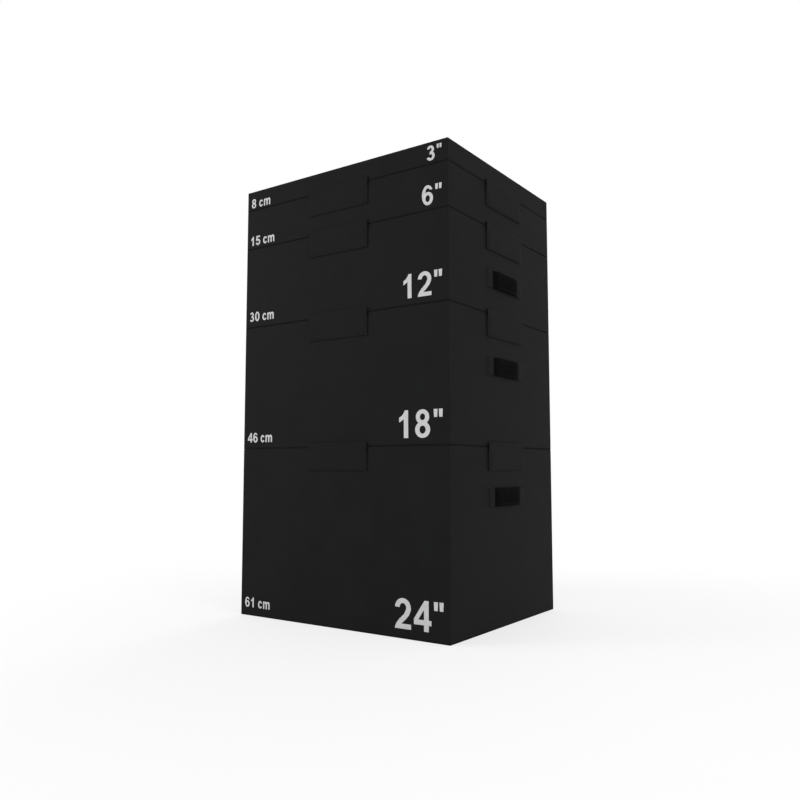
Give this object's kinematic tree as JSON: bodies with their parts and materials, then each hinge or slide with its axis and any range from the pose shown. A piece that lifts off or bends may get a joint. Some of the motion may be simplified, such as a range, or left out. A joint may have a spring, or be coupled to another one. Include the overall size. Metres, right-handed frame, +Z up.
{
  "type": "soft plyo box stack",
  "caption": "Tower of foam-filled vinyl plyo boxes that lift apart, held by hook-and-loop flaps, with carry straps on the tall boxes and zipped covers.",
  "frame": {"origin": "on the floor, under the middle of the stack's footprint", "axes": "+Z up; -Y out of the numbered front face; +X to the right seen from the front; zips on +Y"},
  "size_m": [0.928, 0.7716, 1.6002],
  "materials": {
    "vinyl": "matte",
    "flap_vinyl": "matte",
    "base_rubber": "matte",
    "foam": "matte",
    "loop_pile": "matte",
    "webbing": "matte",
    "zip_tape": "matte",
    "zip_metal": "satin"
  },
  "bodies": {
    "box_24in": {"foam_core_24in": "foam", "cover_24in": "vinyl", "base_panel_24in": "base_rubber", "zip_24in": "zip_tape", "loop_strips_24in": "loop_pile", "handle_straps_24in": "webbing", "handle_tabs_24in": "vinyl"},
    "box_18in": {"foam_core_18in": "foam", "cover_18in": "vinyl", "base_panel_18in": "base_rubber", "zip_18in": "zip_tape", "flap_hems_18in": "vinyl", "loop_strips_18in": "loop_pile", "handle_straps_18in": "webbing", "handle_tabs_18in": "vinyl"},
    "box_12in": {"foam_core_12in": "foam", "cover_12in": "vinyl", "base_panel_12in": "base_rubber", "zip_12in": "zip_tape", "flap_hems_12in": "vinyl", "loop_strips_12in": "loop_pile", "handle_straps_12in": "webbing", "handle_tabs_12in": "vinyl"},
    "box_6in": {"foam_core_6in": "foam", "cover_6in": "vinyl", "base_panel_6in": "base_rubber", "zip_6in": "zip_tape", "flap_hems_6in": "vinyl", "loop_strips_6in": "loop_pile"},
    "box_3in": {"foam_core_3in": "foam", "cover_3in": "vinyl", "base_panel_3in": "base_rubber", "zip_3in": "zip_tape", "flap_hems_3in": "vinyl"},
    "flap_18in_front": {"flap_18in_front": "flap_vinyl"},
    "flap_18in_right": {"flap_18in_right": "flap_vinyl"},
    "flap_18in_back": {"flap_18in_back": "flap_vinyl"},
    "flap_18in_left": {"flap_18in_left": "flap_vinyl"},
    "flap_12in_front": {"flap_12in_front": "flap_vinyl"},
    "flap_12in_right": {"flap_12in_right": "flap_vinyl"},
    "flap_12in_back": {"flap_12in_back": "flap_vinyl"},
    "flap_12in_left": {"flap_12in_left": "flap_vinyl"},
    "flap_6in_front": {"flap_6in_front": "flap_vinyl"},
    "flap_6in_right": {"flap_6in_right": "flap_vinyl"},
    "flap_6in_back": {"flap_6in_back": "flap_vinyl"},
    "flap_6in_left": {"flap_6in_left": "flap_vinyl"},
    "flap_3in_front": {"flap_3in_front": "flap_vinyl"},
    "flap_3in_right": {"flap_3in_right": "flap_vinyl"},
    "flap_3in_back": {"flap_3in_back": "flap_vinyl"},
    "flap_3in_left": {"flap_3in_left": "flap_vinyl"},
    "zip_slider_24in": {"zip_slider_24in": "zip_metal"},
    "zip_pull_24in": {"zip_pull_24in": "zip_metal"},
    "zip_slider_18in": {"zip_slider_18in": "zip_metal"},
    "zip_pull_18in": {"zip_pull_18in": "zip_metal"},
    "zip_slider_12in": {"zip_slider_12in": "zip_metal"},
    "zip_pull_12in": {"zip_pull_12in": "zip_metal"},
    "zip_slider_6in": {"zip_slider_6in": "zip_metal"},
    "zip_pull_6in": {"zip_pull_6in": "zip_metal"},
    "zip_slider_3in": {"zip_slider_3in": "zip_metal"},
    "zip_pull_3in": {"zip_pull_3in": "zip_metal"}
  },
  "joints": [
    {"name": "box_18in_lift", "type": "slide", "parent": "box_24in", "child": "box_18in", "axis": [0, 0, 1], "range_m": [0, 0.15]},
    {"name": "box_12in_lift", "type": "slide", "parent": "box_18in", "child": "box_12in", "axis": [0, 0, 1], "range_m": [0, 0.15]},
    {"name": "box_6in_lift", "type": "slide", "parent": "box_12in", "child": "box_6in", "axis": [0, 0, 1], "range_m": [0, 0.15]},
    {"name": "box_3in_lift", "type": "slide", "parent": "box_6in", "child": "box_3in", "axis": [0, 0, 1], "range_m": [0, 0.15]},
    {"name": "flap_18in_front_hinge", "type": "hinge", "parent": "box_18in", "child": "flap_18in_front", "pos_m": [0, -0.3843, 0.6246], "axis": [-1, 0, 0], "range_deg": [0, 150]},
    {"name": "flap_18in_right_hinge", "type": "hinge", "parent": "box_18in", "child": "flap_18in_right", "pos_m": [0.4583, 0, 0.6246], "axis": [0, -1, 0], "range_deg": [0, 150]},
    {"name": "flap_18in_back_hinge", "type": "hinge", "parent": "box_18in", "child": "flap_18in_back", "pos_m": [0, 0.3843, 0.6246], "axis": [1, 0, 0], "range_deg": [0, 150]},
    {"name": "flap_18in_left_hinge", "type": "hinge", "parent": "box_18in", "child": "flap_18in_left", "pos_m": [-0.4583, 0, 0.6246], "axis": [0, 1, 0], "range_deg": [0, 150]},
    {"name": "flap_12in_front_hinge", "type": "hinge", "parent": "box_12in", "child": "flap_12in_front", "pos_m": [0, -0.3843, 1.0818], "axis": [-1, 0, 0], "range_deg": [0, 150]},
    {"name": "flap_12in_right_hinge", "type": "hinge", "parent": "box_12in", "child": "flap_12in_right", "pos_m": [0.4583, 0, 1.0818], "axis": [0, -1, 0], "range_deg": [0, 150]},
    {"name": "flap_12in_back_hinge", "type": "hinge", "parent": "box_12in", "child": "flap_12in_back", "pos_m": [0, 0.3843, 1.0818], "axis": [1, 0, 0], "range_deg": [0, 150]},
    {"name": "flap_12in_left_hinge", "type": "hinge", "parent": "box_12in", "child": "flap_12in_left", "pos_m": [-0.4583, 0, 1.0818], "axis": [0, 1, 0], "range_deg": [0, 150]},
    {"name": "flap_6in_front_hinge", "type": "hinge", "parent": "box_6in", "child": "flap_6in_front", "pos_m": [0, -0.3843, 1.3866], "axis": [-1, 0, 0], "range_deg": [0, 150]},
    {"name": "flap_6in_right_hinge", "type": "hinge", "parent": "box_6in", "child": "flap_6in_right", "pos_m": [0.4583, 0, 1.3866], "axis": [0, -1, 0], "range_deg": [0, 150]},
    {"name": "flap_6in_back_hinge", "type": "hinge", "parent": "box_6in", "child": "flap_6in_back", "pos_m": [0, 0.3843, 1.3866], "axis": [1, 0, 0], "range_deg": [0, 150]},
    {"name": "flap_6in_left_hinge", "type": "hinge", "parent": "box_6in", "child": "flap_6in_left", "pos_m": [-0.4583, 0, 1.3866], "axis": [0, 1, 0], "range_deg": [0, 150]},
    {"name": "flap_3in_front_hinge", "type": "hinge", "parent": "box_3in", "child": "flap_3in_front", "pos_m": [0, -0.3843, 1.539], "axis": [-1, 0, 0], "range_deg": [0, 150]},
    {"name": "flap_3in_right_hinge", "type": "hinge", "parent": "box_3in", "child": "flap_3in_right", "pos_m": [0.4583, 0, 1.539], "axis": [0, -1, 0], "range_deg": [0, 150]},
    {"name": "flap_3in_back_hinge", "type": "hinge", "parent": "box_3in", "child": "flap_3in_back", "pos_m": [0, 0.3843, 1.539], "axis": [1, 0, 0], "range_deg": [0, 150]},
    {"name": "flap_3in_left_hinge", "type": "hinge", "parent": "box_3in", "child": "flap_3in_left", "pos_m": [-0.4583, 0, 1.539], "axis": [0, 1, 0], "range_deg": [0, 150]},
    {"name": "zip_slider_24in_slide", "type": "slide", "parent": "box_24in", "child": "zip_slider_24in", "axis": [1, 0, 0], "range_m": [0, 0.757]},
    {"name": "zip_pull_24in_hinge", "type": "hinge", "parent": "zip_slider_24in", "child": "zip_pull_24in", "pos_m": [-0.3787, 0.3843, 0.038], "axis": [0, 0, 1], "range_deg": [0, 160]},
    {"name": "zip_slider_18in_slide", "type": "slide", "parent": "box_18in", "child": "zip_slider_18in", "axis": [1, 0, 0], "range_m": [0, 0.757]},
    {"name": "zip_pull_18in_hinge", "type": "hinge", "parent": "zip_slider_18in", "child": "zip_pull_18in", "pos_m": [-0.3787, 0.3843, 0.6476], "axis": [0, 0, 1], "range_deg": [0, 160]},
    {"name": "zip_slider_12in_slide", "type": "slide", "parent": "box_12in", "child": "zip_slider_12in", "axis": [1, 0, 0], "range_m": [0, 0.757]},
    {"name": "zip_pull_12in_hinge", "type": "hinge", "parent": "zip_slider_12in", "child": "zip_pull_12in", "pos_m": [-0.3787, 0.3843, 1.1048], "axis": [0, 0, 1], "range_deg": [0, 160]},
    {"name": "zip_slider_6in_slide", "type": "slide", "parent": "box_6in", "child": "zip_slider_6in", "axis": [1, 0, 0], "range_m": [0, 0.757]},
    {"name": "zip_pull_6in_hinge", "type": "hinge", "parent": "zip_slider_6in", "child": "zip_pull_6in", "pos_m": [-0.3787, 0.3843, 1.4096], "axis": [0, 0, 1], "range_deg": [0, 160]},
    {"name": "zip_slider_3in_slide", "type": "slide", "parent": "box_3in", "child": "zip_slider_3in", "axis": [1, 0, 0], "range_m": [0, 0.757]},
    {"name": "zip_pull_3in_hinge", "type": "hinge", "parent": "zip_slider_3in", "child": "zip_pull_3in", "pos_m": [-0.3787, 0.3843, 1.562], "axis": [0, 0, 1], "range_deg": [0, 160]}
  ]
}
